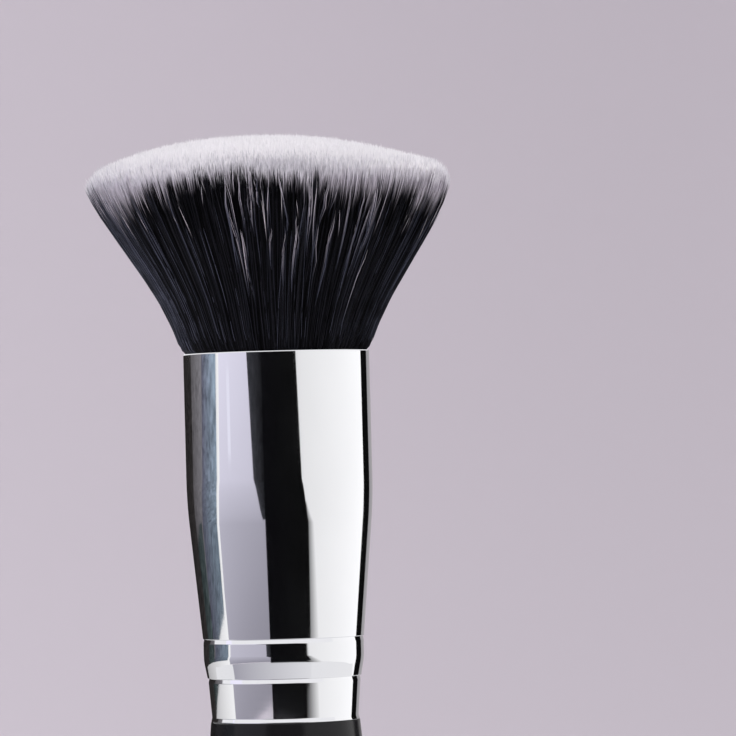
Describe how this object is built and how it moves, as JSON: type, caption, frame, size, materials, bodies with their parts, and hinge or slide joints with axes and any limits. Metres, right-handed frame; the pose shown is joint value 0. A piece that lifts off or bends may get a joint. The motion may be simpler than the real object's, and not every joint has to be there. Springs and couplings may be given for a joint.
{
  "type": "kabuki makeup brush",
  "caption": "Short flat-top makeup brush: dense flared head of black fibres with white ends, bright ferrule crimped on to a turned black handle that stands on its flat foot.",
  "frame": {"origin": "centre of the handle's flat foot, on the surface that the brush stands on", "axes": "+Z along the brush's axis from the foot to the crown of the head; X and Y are alike, because every piece is turned about Z"},
  "size_m": [0.0432, 0.0432, 0.1111],
  "materials": {
    "lacquered_wood": "satin",
    "plated_metal": "polished",
    "cured_resin": "gloss",
    "cotton_thread": "matte",
    "black_fibre": "satin",
    "white_fibre": "satin"
  },
  "bodies": {
    "root": {"handle": "lacquered_wood", "ferrule": "plated_metal", "root_resin": "cured_resin", "binding_thread": "cotton_thread", "black_fibres": "black_fibre", "white_fibres": "white_fibre"}
  },
  "joints": []
}
